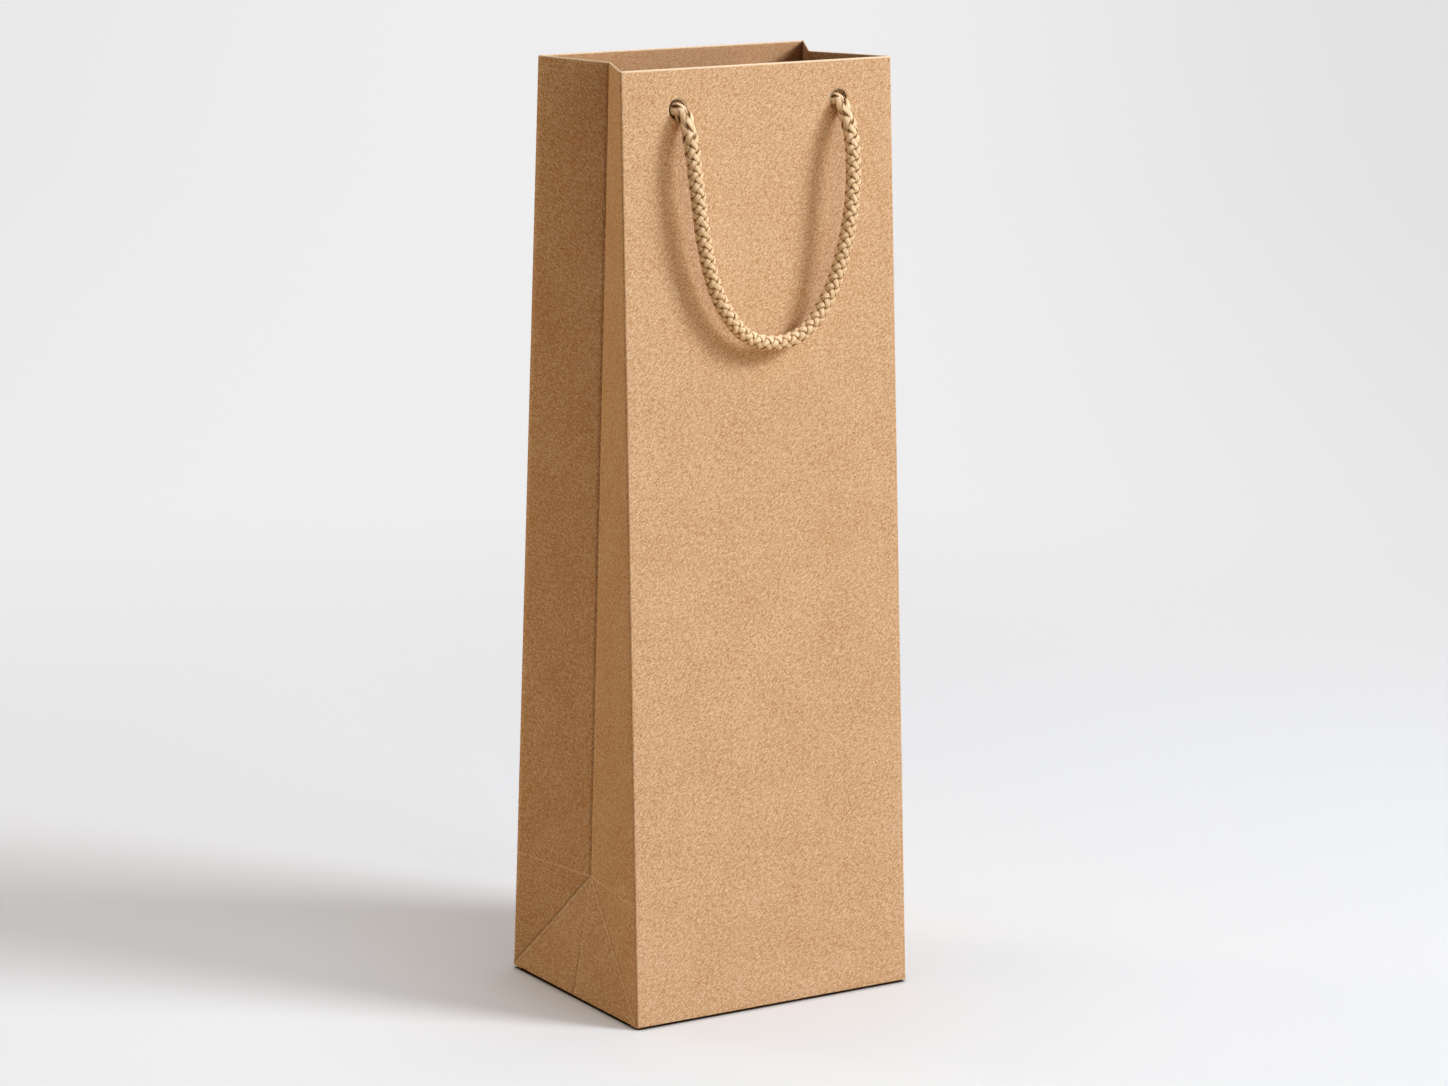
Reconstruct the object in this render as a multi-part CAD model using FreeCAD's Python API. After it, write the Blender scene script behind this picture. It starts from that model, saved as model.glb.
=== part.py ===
import FreeCAD, Part
import math
import os

from FreeCAD import Vector

# A kraft paper bottle bag with gusseted sides and two rope handles.
# Millimetres. X runs across the front, the front faces -Y, Z is up,
# and the origin is the middle of the base, on the floor.

# The sheet
bag_width = 120.0
base_depth = 95.0
mouth_depth = 61.0
bag_height = 360.0
paper_thickness = 0.3
# Clear space at a crease, between the panels that it joins
fold_gap = 0.3

# How far the centre crease of a side stands in, at the bottom fold and at the mouth
foot_inset = 7.3
left_mouth_inset = 13.3
right_mouth_inset = 16.8

# The hem round the mouth, folded over a strip of card on the wide panels
hem_depth = 40.0
hem_side_margin = 2.0
hem_layer_gap = 0.1
card_thickness = 0.5
card_depth = 34.0

# The glue flap inside the front panel, along its left edge
seam_flap_width = 16.0
seam_flap_margin = 1.0
seam_flap_lift = 6.0

# The folded bottom and the board on it
flap_overlap = 6.0
flap_tip_width = 13.0
side_flap_reach = 48.0
side_flap_tip_width = 20.0
board_thickness = 1.5
board_margin = 1.5
board_corner_radius = 3.0

# The ropes, their holes and their stopper knots
rope_diameter = 6.0
hole_diameter = 7.2
hole_spacing = 71.0
hole_drop = 15.0
pivot_reach = 9.5
pivot_gap = 0.5
knot_seat_gap = 0.1
knot_bulge = 3.6
knot_wrap_width = 5.8
knot_wraps = 2
knot_tail = 4.0
# Flat sides of a rope, and steps across a wrap of a knot or a rounded end
rope_sides = 12
round_steps = 4

# The hanging loop between its two pivots, as (across, below the pivots)
loop_route = [
    (-36.4, 14.0),
    (-34.6, 32.0),
    (-31.2, 51.0),
    (-24.6, 71.0),
    (-10.5, 88.6),
    (12.5, 89.0),
    (26.2, 71.0),
    (32.8, 51.0),
    (35.6, 32.0),
    (36.0, 14.0),
]
# Share of the shorter run that each bend of the rope takes up
bend_share = 0.45

# One overrun for all cuts
cut_overrun = 2.0

LEFT, RIGHT = -1, 1
FRONT, REAR = -1, 1
SIDES = {"left": LEFT, "right": RIGHT}
ENDS = {"front": FRONT, "rear": REAR}
ACROSS = Vector(1, 0, 0)
UP = Vector(0, 0, 1)

half_width = bag_width / 2
wall_run = (base_depth - mouth_depth) / 2
wall_length = math.hypot(wall_run, bag_height)
wall_lean = math.degrees(math.atan2(wall_run, bag_height))
hem_thickness = 2 * paper_thickness + card_thickness
hem_fold_radius = hem_thickness / 2
# Where the outer paper starts to turn over the card, measured up the wall
hem_fold_start = wall_length - hem_fold_radius
# What a panel leaves clear beside the panel that it is folded from
fold_clearance = paper_thickness + fold_gap
# The bottom fold runs up each side by half the depth of the base
crease_height = base_depth / 2
rope_radius = rope_diameter / 2
hole_along_wall = wall_length - hole_drop
mouth_insets = {LEFT: left_mouth_inset, RIGHT: right_mouth_inset}


def half_depth(height):
    """Half the bag's depth at a height: the wide panels lean in towards the mouth."""
    return base_depth / 2 - wall_run * height / bag_height


def crease_inset(side, height):
    """How far a side's centre crease stands in at a height above the bottom fold."""
    rise = (height - crease_height) / (bag_height - crease_height)
    return foot_inset + (mouth_insets[side] - foot_inset) * rise


# Wide panels: made upright with the outer face on y = 0, then leant and put in place


def turn_wall(shape):
    """Lean an upright wall about its bottom crease and set it at the front."""
    crease = Vector(0, paper_thickness / 2, paper_thickness / 2)
    shape.rotate(crease, ACROSS, -wall_lean)
    shape.translate(Vector(0, -base_depth / 2, 0))
    return shape


def turn_to_rear(shape):
    """Copy what belongs to the front wall to the back of the bag."""
    copy = shape.copy()
    copy.rotate(Vector(), UP, 180)
    return copy


def extrude_profile(edges, start, end):
    """Extrude a closed profile that lies in the plane x = 0 from one x to another."""
    face = Part.Face(Part.Wire(edges))
    face.translate(Vector(start, 0, 0))
    return face.extrude(Vector(end - start, 0, 0))


def wall_point(depth, height):
    return Vector(0, depth, height)


def line(first, second):
    return Part.LineSegment(first, second).toShape()


def arc(first, middle, last):
    return Part.Arc(first, middle, last).toShape()


def punch_holes(wall):
    """Cut the two rope holes through an upright layer of the wall."""
    for x in (-hole_spacing / 2, hole_spacing / 2):
        start = Vector(x, -cut_overrun, hole_along_wall)
        length = hem_thickness + 2 * cut_overrun
        wall = wall.cut(Part.makeCylinder(hole_diameter / 2, length, start, Vector(0, 1, 0)))
    return wall


def wide_panel():
    """The outer paper, with its lower edge rounded on the bottom crease."""
    radius = paper_thickness / 2
    outer_low = wall_point(0, radius)
    inner_low = wall_point(paper_thickness, radius)
    outer_top = wall_point(0, hem_fold_start)
    inner_top = wall_point(paper_thickness, hem_fold_start)
    profile = [
        line(outer_low, outer_top),
        line(outer_top, inner_top),
        line(inner_top, inner_low),
        arc(inner_low, wall_point(radius, 0), outer_low),
    ]
    return punch_holes(extrude_profile(profile, -half_width, half_width))


def hem_turn_in():
    """The hem: from the top of the outer paper, over the card and down inside."""
    inner_radius = hem_fold_radius - paper_thickness
    lower_edge = wall_length - hem_depth
    outer_start = wall_point(0, hem_fold_start)
    outer_end = wall_point(hem_thickness, hem_fold_start)
    inner_start = wall_point(paper_thickness, hem_fold_start)
    inner_end = wall_point(hem_thickness - paper_thickness, hem_fold_start)
    inner_low = wall_point(hem_thickness - paper_thickness, lower_edge)
    outer_low = wall_point(hem_thickness, lower_edge)
    profile = [
        arc(outer_start, wall_point(hem_fold_radius, wall_length), outer_end),
        line(outer_end, outer_low),
        line(outer_low, inner_low),
        line(inner_low, inner_end),
        arc(inner_end, wall_point(hem_fold_radius, hem_fold_start + inner_radius), inner_start),
        line(inner_start, outer_start),
    ]
    reach = half_width - hem_side_margin
    return punch_holes(extrude_profile(profile, -reach, reach))


def top_card():
    """The strip of card that stiffens the hem round the holes."""
    reach = half_width - hem_side_margin
    corner = Vector(-reach, paper_thickness, hem_fold_start - card_depth)
    return punch_holes(Part.makeBox(2 * reach, card_thickness, card_depth, corner))


def seam_flap():
    """The glue flap: a strip of the side's paper on the inside of the front panel."""
    corner = Vector(-half_width + seam_flap_margin, paper_thickness, seam_flap_lift)
    height = wall_length - hem_depth - fold_gap - seam_flap_lift
    return Part.makeBox(seam_flap_width, paper_thickness, height, corner)


def closed(points):
    return Part.makePolygon(points + points[:1])


def flat_face(*corners):
    return Part.Face(closed(list(corners)))


def solid_through(rings, side_face):
    """A solid through rings of points, with one side face between each two pairs of neighbours."""
    faces = [flat_face(*rings[0]), flat_face(*rings[-1])]
    for low, high in zip(rings, rings[1:]):
        for i, point in enumerate(low):
            faces.append(side_face(low[i - 1], point, high[i], high[i - 1]))
    shell = Part.makeShell(faces)
    shell.sewShape()
    return Part.Solid(shell)


def rope_ring(centre, along, radius):
    """The corners round a rope of flat sides that hangs along a wall or runs through it."""
    first = Vector(0, 1, 0) if abs(along.y) < along.Length / 2 else UP
    second = along.cross(first).normalize()
    turns = [2 * math.pi * side / rope_sides for side in range(rope_sides)]
    return [centre + first * (radius * math.cos(t)) + second * (radius * math.sin(t)) for t in turns]


def rope_end(x):
    """The rope in its hole: a straight stub outside, and a knot with a short tail inside."""
    seat = hem_thickness + knot_seat_gap
    knot_end = seat + knot_wraps * knot_wrap_width
    stations = [(rope_radius + pivot_gap - pivot_reach, rope_radius), (seat, rope_radius)]
    for wrap in range(knot_wraps):
        start = seat + wrap * knot_wrap_width
        for step in range(1, round_steps + 1):
            turn = math.pi * step / round_steps
            depth = start + knot_wrap_width * (1 - math.cos(turn)) / 2
            stations.append((depth, rope_radius + knot_bulge * math.sin(turn)))
    stations.append((knot_end + knot_tail, rope_radius))
    inward = Vector(0, 1, 0)
    rings = [rope_ring(Vector(x, depth, hole_along_wall), inward, radius) for depth, radius in stations]
    return solid_through(rings, flat_face)


def handle_pivots():
    """The two points that the front handle swings about, in the bag's frame."""
    marks = [
        Part.Vertex(Vector(x, -pivot_reach, hole_along_wall))
        for x in (-hole_spacing / 2, hole_spacing / 2)
    ]
    return [turn_wall(mark).Point for mark in marks]


def rope_path(points):
    """Straight runs joined by tangent arcs, each as large as its two runs allow."""
    edges, radii = [], []
    start = points[0]
    for before, corner, after in zip(points, points[1:], points[2:]):
        way_in = corner.sub(before)
        way_out = after.sub(corner)
        setback = bend_share * min(way_in.Length, way_out.Length)
        half_turn = way_in.getAngle(way_out) / 2
        radius = setback / math.tan(half_turn)
        way_in.normalize()
        way_out.normalize()
        inside = way_out.sub(way_in).normalize()
        arc_start = corner - way_in * setback
        arc_end = corner + way_out * setback
        arc_middle = corner + inside * (radius / math.cos(half_turn) - radius)
        edges.append(line(start, arc_start))
        edges.append(arc(arc_start, arc_middle, arc_end))
        radii.append(radius)
        start = arc_end
    edges.append(line(start, points[-1]))
    print("handle bend radii, mm:", [round(radius, 1) for radius in radii])
    return Part.Wire(edges)


def rounded_end(pivot, away):
    """The half ball that ends a handle on its pivot."""
    rings = []
    for step in range(round_steps):
        turn = math.pi / 2 * step / round_steps
        centre = pivot + away * (rope_radius * math.sin(turn))
        rings.append(rope_ring(centre, away, rope_radius * math.cos(turn)))
    return solid_through(rings, flat_face)


def handle_loop():
    """The free stretch of a rope, hanging straight down, with round ends on its pivots."""
    first, last = handle_pivots()
    hung = [Vector(across, first.y, first.z - below) for across, below in loop_route]
    points = [first] + hung + [last]
    path = rope_path(points)
    ring = closed(rope_ring(first, points[1].sub(first), rope_radius))
    rope = path.makePipeShell([ring], True, False)
    print("handle length, mm:", round(path.Length, 1))
    section = Part.Face(ring).Area
    print("handle volume over section times length:", round(rope.Volume / (section * path.Length), 4))
    for pivot, neighbour in ((first, points[1]), (last, points[-2])):
        rope = rope.fuse(rounded_end(pivot, pivot.sub(neighbour).normalize()))
    return rope.removeSplitter()


# Sides: each is folded along its centre crease, and by the bottom fold


def twisted_face(low_start, low_end, high_end, high_start):
    return Part.makeRuledSurface(line(low_start, low_end), line(high_start, high_end))


def gusset_section(side, end, height, depth):
    """A level cut through half of a side, mitred at the wide panel and at the centre crease."""
    edge = Vector(side * half_width, end * (half_depth(height) - fold_clearance), height)
    inset = crease_inset(side, height)
    crease = Vector(side * (half_width - inset), end * fold_gap / 2, height)
    slant = crease.sub(edge)
    inward = Vector(-side * slant.Length / abs(slant.y), 0, 0)
    near, far = inward * depth, inward * (depth + paper_thickness)
    return [edge + near, crease + near, crease + far, edge + far]


def gusset_half(side, end):
    """A half of a side above the bottom fold: it twists as it folds in towards the mouth."""
    low = gusset_section(side, end, crease_height + fold_gap / 2, 0)
    high = gusset_section(side, end, bag_height, 0)
    return solid_through([low, high], twisted_face)


def gusset_turn_in(side, end):
    """The hem of a half, folded down on its inside."""
    depth = paper_thickness + hem_layer_gap
    low = gusset_section(side, end, bag_height - hem_depth, depth)
    high = gusset_section(side, end, bag_height, depth)
    return solid_through([low, high], twisted_face)


def paper_triangle(corners, inside):
    """A flat triangle of paper, drawn in by half a fold gap all round."""
    lengths = [corners[i - 2].sub(corners[i - 1]).Length for i in range(3)]
    perimeter = sum(lengths)
    centre = sum((corner * length for corner, length in zip(corners, lengths)), Vector()) / perimeter
    normal = corners[1].sub(corners[0]).cross(corners[2].sub(corners[0]))
    inner_radius = normal.Length / perimeter
    keep = 1 - fold_gap / 2 / inner_radius
    drawn = [centre + corner.sub(centre) * keep for corner in corners]
    if normal.dot(inside) < 0:
        normal = -normal
    return flat_face(*drawn).extrude(normal.normalize() * paper_thickness)


def base_corner(side, end):
    return Vector(side * half_width, end * (half_depth(0) - fold_clearance), 0)


def fold_apex(side):
    return Vector(side * (half_width - foot_inset), 0, crease_height)


def gusset_foot(side, end):
    """The triangle between a gusset half, its wide panel and the bottom fold."""
    top = base_corner(side, end)
    top.y = end * (half_depth(crease_height) - fold_clearance)
    top.z = crease_height
    apex = fold_apex(side)
    apex.y = end * fold_gap / 2
    return paper_triangle([base_corner(side, end), top, apex], ACROSS * -side)


def base_triangle(side):
    """The triangle that the bottom fold turns up on a side."""
    corners = [base_corner(side, FRONT), fold_apex(side), base_corner(side, REAR)]
    return paper_triangle(corners, ACROSS * -side)


# Bottom: four flaps folded like an envelope, and the board that lies on them


def flap(base, tip, reach, layer):
    """A trapezium of paper from its crease, along x, towards +y, in its layer of the bottom."""
    low = layer * paper_thickness
    corners = [
        Vector(-base / 2, 0, low),
        Vector(base / 2, 0, low),
        Vector(tip / 2, reach, low),
        Vector(-tip / 2, reach, low),
    ]
    return flat_face(*corners).extrude(UP * paper_thickness)


def long_flap(layer):
    """The flap of a wide panel, here at the front, which reaches past the middle."""
    crease = base_depth / 2 - fold_clearance
    shape = flap(bag_width - 2 * fold_clearance, flap_tip_width, crease + flap_overlap, layer)
    shape.translate(Vector(0, -crease, 0))
    return shape


def short_flap(side, layer):
    """The flap of a side, tucked in under the long ones."""
    shape = flap(base_depth - 2 * fold_clearance, side_flap_tip_width, side_flap_reach, layer)
    shape.rotate(Vector(), UP, 90 * side)
    shape.translate(Vector(side * (half_width - fold_clearance), 0, 0))
    return shape


def base_board(layer):
    """The loose board in the bottom, with rounded corners."""
    width = bag_width - 2 * board_margin
    depth = base_depth - 2 * board_margin
    corner = Vector(-width / 2, -depth / 2, layer * paper_thickness)
    board = Part.makeBox(width, depth, board_thickness, corner)
    uprights = [edge for edge in board.Edges if abs(edge.Vertexes[0].Z - edge.Vertexes[1].Z) > 0]
    return board.makeFillet(board_corner_radius, uprights)


def build():
    """Every node of the bag, by name."""
    nodes = {}
    walls = {"panel": wide_panel(), "turn_in": hem_turn_in(), "top_card": top_card()}
    for name, x in (("left_rope_end", -hole_spacing / 2), ("right_rope_end", hole_spacing / 2)):
        walls[name] = rope_end(x)
    for name, shape in walls.items():
        nodes["front_" + name] = turn_wall(shape)
        nodes["back_" + name] = turn_to_rear(nodes["front_" + name])
    nodes["side_seam_flap"] = turn_wall(seam_flap())

    nodes["front_handle_loop"] = handle_loop()
    nodes["back_handle_loop"] = turn_to_rear(nodes["front_handle_loop"])

    for side_name, side in SIDES.items():
        for end_name, end in ENDS.items():
            half = f"{side_name}_gusset_{end_name}"
            nodes[half] = gusset_half(side, end)
            nodes[half + "_turn_in"] = gusset_turn_in(side, end)
            nodes[half + "_foot"] = gusset_foot(side, end)
        nodes[side_name + "_base_triangle"] = base_triangle(side)
        nodes[f"bottom_{side_name}_flap"] = short_flap(side, 2)

    nodes["bottom_front_flap"] = long_flap(0)
    nodes["bottom_rear_flap"] = turn_to_rear(long_flap(1))
    nodes["base_board"] = base_board(3)
    return nodes


def main():
    os.makedirs("parts", exist_ok=True)
    for name, shape in build().items():
        if not shape.isValid() or len(shape.Solids) != 1:
            raise ValueError(f"{name} is not one valid solid")
        shape.Solids[0].exportStep(f"parts/{name}.step")


main()
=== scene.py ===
import math
from functools import partial

import bmesh
import bpy
from mathutils import Matrix, Vector, noise


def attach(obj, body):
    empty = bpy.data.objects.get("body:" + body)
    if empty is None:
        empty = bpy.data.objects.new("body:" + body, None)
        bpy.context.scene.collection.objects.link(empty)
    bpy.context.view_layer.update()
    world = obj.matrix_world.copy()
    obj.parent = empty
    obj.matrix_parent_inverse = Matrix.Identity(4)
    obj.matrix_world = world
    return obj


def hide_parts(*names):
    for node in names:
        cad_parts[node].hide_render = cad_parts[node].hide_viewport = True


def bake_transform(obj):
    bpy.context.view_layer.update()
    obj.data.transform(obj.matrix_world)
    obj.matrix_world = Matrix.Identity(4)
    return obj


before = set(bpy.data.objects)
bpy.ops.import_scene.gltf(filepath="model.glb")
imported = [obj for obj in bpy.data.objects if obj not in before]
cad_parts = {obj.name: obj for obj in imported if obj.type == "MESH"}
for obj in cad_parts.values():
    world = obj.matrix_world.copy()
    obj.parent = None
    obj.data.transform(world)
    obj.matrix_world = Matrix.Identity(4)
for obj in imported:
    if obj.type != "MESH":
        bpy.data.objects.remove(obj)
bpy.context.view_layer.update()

bl_info = {
    "name": "Kraft bottle bag",
    "version": (1, 0, 0),
    "blender": (4, 5, 0),
    "location": "3D View > Sidebar > Bottle bag",
    "description": "Dresses the packed bottle bag: paper sheets, braided ropes, bottom and studio",
    "category": "Add Mesh",
}

LEFT, RIGHT = -1, 1
FRONT, REAR = -1, 1
SIDES = {"left": LEFT, "right": RIGHT}
ENDS = {"front": FRONT, "rear": REAR}
WALLS = {FRONT: "front_wall", REAR: "back_wall"}
HANDLES = {FRONT: "front_handle", REAR: "back_handle"}
WALL_NAMES = {FRONT: "front", REAR: "back"}

# Route of a rope from the tail inside its left knot to the one inside its right knot.
# In the wall: across, depth behind the outer face, below the holes. Metres.
ROPE_IN = [(0.0, 0.0164, 0.0), (0.0, 0.0060, 0.0), (0.0001, 0.0004, 0.0007)]
# Outside: across, out from the pivots, below the pivots. Metres.
ROPE_LOOP = [
    (-0.0349, -0.0048, 0.0030),
    (-0.0352, -0.0006, 0.0120),
    (-0.0336, 0.0013, 0.0300),
    (-0.0306, 0.0015, 0.0510),
    (-0.0246, 0.0015, 0.0710),
    (-0.0105, 0.0015, 0.0886),
    (0.0125, 0.0018, 0.0890),
    (0.0251, 0.0034, 0.0710),
    (0.0309, 0.0045, 0.0510),
    (0.0337, 0.0045, 0.0320),
    (0.0347, 0.0016, 0.0125),
    (0.0348, -0.0048, 0.0030),
]


def length_prop(name, description, default):
    return bpy.props.FloatProperty(
        name=name, description=description, default=default,
        min=0.0, unit="LENGTH", precision=5)


def colour_prop(name, description, default):
    return bpy.props.FloatVectorProperty(
        name=name, description=description, default=(*default, 1.0),
        size=4, min=0.0, max=1.0, subtype="COLOR")


class BagSizes(bpy.types.PropertyGroup):
    """Sizes of the bag, in metres."""

    width: length_prop("Width", "Across the front", 0.12)
    base_depth: length_prop("Base depth", "Front to back at the bottom", 0.095)
    mouth_depth: length_prop("Mouth depth", "Front to back at the mouth", 0.061)
    height: length_prop("Height", "Bottom to mouth", 0.36)
    paper: length_prop("Paper", "Thickness of the kraft paper", 0.0003)
    foot_inset: length_prop("Foot inset", "Centre crease inset at the bottom fold", 0.0073)
    left_inset: length_prop("Left inset", "Left crease inset at the mouth", 0.0133)
    right_inset: length_prop("Right inset", "Right crease inset at the mouth", 0.0168)
    hem_depth: length_prop("Hem", "Depth of the turned-in hem", 0.04)
    hem_thickness: length_prop("Hem thickness", "Two papers and the card between", 0.0011)
    gusset_hem: length_prop("Side hem thickness", "Two papers of a side's hem", 0.0007)
    hem_margin: length_prop("Hem margin", "Clear space at each end of a hem", 0.0011)
    corner_radius: length_prop("Corner radius", "Roundness of a folded upright edge", 0.0008)
    seam_radius: length_prop("Seam radius", "Roundness of the glued corner", 0.0006)
    bottom_radius: length_prop("Bottom radius", "Roundness of the bottom folds", 0.0003)
    bottom_lip: length_prop("Bottom lip", "How far the sheet turns under", 0.005)
    foot_spread: length_prop("Foot spread", "How far each side stands out at the bottom", 0.0012)
    mouth_draw: length_prop("Mouth draw", "How far each side is drawn in at the mouth", 0.0007)
    front_lift: length_prop("Front lift", "Front bottom edge above the floor", 0.0009)
    rear_lift: length_prop("Rear lift", "Rear bottom edge above the floor", 0.0012)
    rear_rise: length_prop("Rear rise", "How much higher the rear of the mouth is", 0.0006)
    hole: length_prop("Hole", "Diameter of a rope hole", 0.0072)
    hole_spacing: length_prop("Hole spacing", "Between the holes of a panel", 0.071)
    hole_drop: length_prop("Hole drop", "Below the mouth", 0.015)
    pivot_reach: length_prop("Pivot reach", "From the panel to the handle's pivots", 0.0095)
    rope: length_prop("Rope", "Diameter of the rope", 0.006)
    braid_lead: length_prop("Braid lead", "Length of one turn of a strand", 0.0162)
    board: length_prop("Board", "Thickness of the base board", 0.0015)
    board_margin: length_prop("Board margin", "Clear space round the board", 0.0015)
    board_corner: length_prop("Board corner", "Corner radius of the board", 0.003)


class BagColours(bpy.types.PropertyGroup):
    """Colours of the bag and of the studio."""

    kraft: colour_prop("Kraft", "The paper's cut edges", (0.700, 0.436, 0.243))
    kraft_light: colour_prop("Pale fibre", "Pale fibres", (0.828, 0.648, 0.452))
    # The dark fibre colour is also the painted shade on the inner faces.
    kraft_dark: colour_prop("Dark fibre", "Dark fibres", (0.530, 0.268, 0.118))
    # The worn colour is also a painted highlight, in the band under the mouth.
    worn: colour_prop("Worn", "Worn folds and edges", (0.980, 0.830, 0.640))
    # The fleck colour is also painted shade: the dark hole walls, the strip beside the side
    # creases, and the contact shadow on the floor under the bag.
    fleck_and_painted_shade: colour_prop("Fleck", "Flecks, hole walls, floor under the bag", (0.040, 0.020, 0.010))
    card: colour_prop("Card", "The card in the hem", (0.560, 0.440, 0.310))
    board: colour_prop("Board", "The base board", (0.470, 0.350, 0.230))
    rope: colour_prop("Rope", "The braided rope", (0.735, 0.450, 0.232))
    # Rope light is also the painted highlight on each strand's crown; rope dark is the painted
    # shade at the strands' sides and in the yarn grooves, and the random dark patches.
    rope_light: colour_prop("Rope light", "Pale yarns", (0.975, 0.775, 0.535))
    rope_dark: colour_prop("Rope dark", "Between the yarns", (0.170, 0.072, 0.025))
    studio: colour_prop("Studio", "The floor round the bag", (0.850, 0.882, 0.930))
    # The paler floor on the left is painted light, lifting the bag's shadow and the less lit floor
    # there.
    studio_left: colour_prop("Studio left", "The floor left of the bag", (0.895, 0.925, 0.975))
    studio_bounce: colour_prop("Bounce", "The floor as it throws light back", (0.46, 0.33, 0.215))
    # The backdrop is a glow, painted light, darker at the sides as a painted falloff.
    backdrop: colour_prop("Backdrop", "The backdrop behind the bag", (0.865, 0.858, 0.860))
    backdrop_edge: colour_prop("Backdrop edge", "The backdrop at the sides", (0.765, 0.762, 0.770))


# Shader nodes


class Tone:
    """A shader value that takes part in arithmetic: each operation adds a Math node."""

    def __init__(self, finish, socket):
        self.finish = finish
        self.socket = socket

    def math(self, operation, *others):
        return self.finish.math(operation, self, *others)

    def __add__(self, other):
        return self.math("ADD", other)

    def __sub__(self, other):
        return self.math("SUBTRACT", other)

    def __rsub__(self, other):
        return self.finish.math("SUBTRACT", other, self)

    def __mul__(self, other):
        return self.math("MULTIPLY", other)

    def __abs__(self):
        return self.math("ABSOLUTE")

    __radd__ = __add__
    __rmul__ = __mul__

    def step(self, low, high):
        """0 below low, 1 above high, smooth between them, also where high is the lower."""
        settings = {"interpolation_type": "SMOOTHSTEP", "clamp": True}
        return self.finish.node("ShaderNodeMapRange", settings, {0: self, 1: low, 2: high})

    def swing(self, weight):
        """How far this value is from a half, times a weight."""
        return (self - 0.5) * weight

    def line(self, half_width):
        """1 where this value is nearly zero, 0 further off than the half width."""
        return abs(self).step(half_width, 0.25 * half_width)


class Finish:
    """A node material under construction."""

    def __init__(self, name):
        self.material = bpy.data.materials.new(name)
        self.material.use_nodes = True
        self.tree = self.material.node_tree
        self.shader = self.tree.nodes["Principled BSDF"]

    def feed(self, socket, value):
        if isinstance(value, Tone):
            self.tree.links.new(value.socket, socket)
        else:
            socket.default_value = value

    def node(self, kind, settings=(), inputs=(), output=0):
        made = self.tree.nodes.new(kind)
        for key, value in dict(settings).items():
            setattr(made, key, value)
        for key, value in dict(inputs).items():
            self.feed(made.inputs[key], value)
        return Tone(self, made.outputs[output])

    def math(self, operation, *values):
        return self.node("ShaderNodeMath", {"operation": operation}, enumerate(values))

    def attribute(self, name):
        return self.node("ShaderNodeAttribute", {"attribute_name": name}, output="Vector")

    def place(self):
        """Coordinates in the object, in metres."""
        return self.node("ShaderNodeTexCoord", output="Object")

    def parts(self, vector):
        split = self.node("ShaderNodeSeparateXYZ", inputs={0: vector}).socket.node
        return [Tone(self, socket) for socket in split.outputs]

    def drawn_out(self, vector, lengths, turn=0.0):
        """Coordinates that draw a pattern out by the lengths, along axes turned in the sheet."""
        inputs = {"Vector": vector, "Rotation": (0.0, 0.0, turn), "Scale": lengths}
        return self.node("ShaderNodeMapping", {"vector_type": "TEXTURE"}, inputs)

    def noise(self, vector, scale, detail=2.0, distortion=0.0, roughness=0.5):
        inputs = {"Vector": vector, "Scale": scale, "Detail": detail,
                  "Distortion": distortion, "Roughness": roughness}
        return self.node("ShaderNodeTexNoise", inputs=inputs)

    def mix(self, first, second, factor):
        inputs = {0: factor, 6: first, 7: second}
        return self.node("ShaderNodeMix", {"data_type": "RGBA"}, inputs, output=2)

    def bump(self, height, distance):
        inputs = {"Strength": 1.0, "Distance": distance, "Height": height}
        return self.node("ShaderNodeBump", inputs=inputs)

    def surface(self, colour, roughness, normal, specular=0.2):
        self.shader.inputs["Specular IOR Level"].default_value = specular
        for key, value in (("Base Color", colour), ("Roughness", roughness), ("Normal", normal)):
            self.feed(self.shader.inputs[key], value)
        return self.material


# Noise scales are features per metre. Reliefs are the heights of bumps, in metres.
STROKE_SLANT = math.radians(40.0)
PAPER_RELIEF, EDGE_RELIEF, BOARD_RELIEF = 0.00007, 0.00005, 0.00008
YARN_RELIEF, FLOOR_RELIEF = 0.0004, 0.00002
# Middle tone, from dark to pale fibre, and contrast of the paper; the sides' paper is darker and
# more contrasted, painted shade and painted grazing light
WIDE_TONE, SHADED_SIDE_TONE = (0.49, 1.15), (0.33, 1.7)
# Right in the picture, along the floor
PICTURE_RIGHT = (0.85, -0.53)
# From the middle of a wide panel to the faint score beside each upright fold
SCORE_ACROSS = 0.0583


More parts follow.
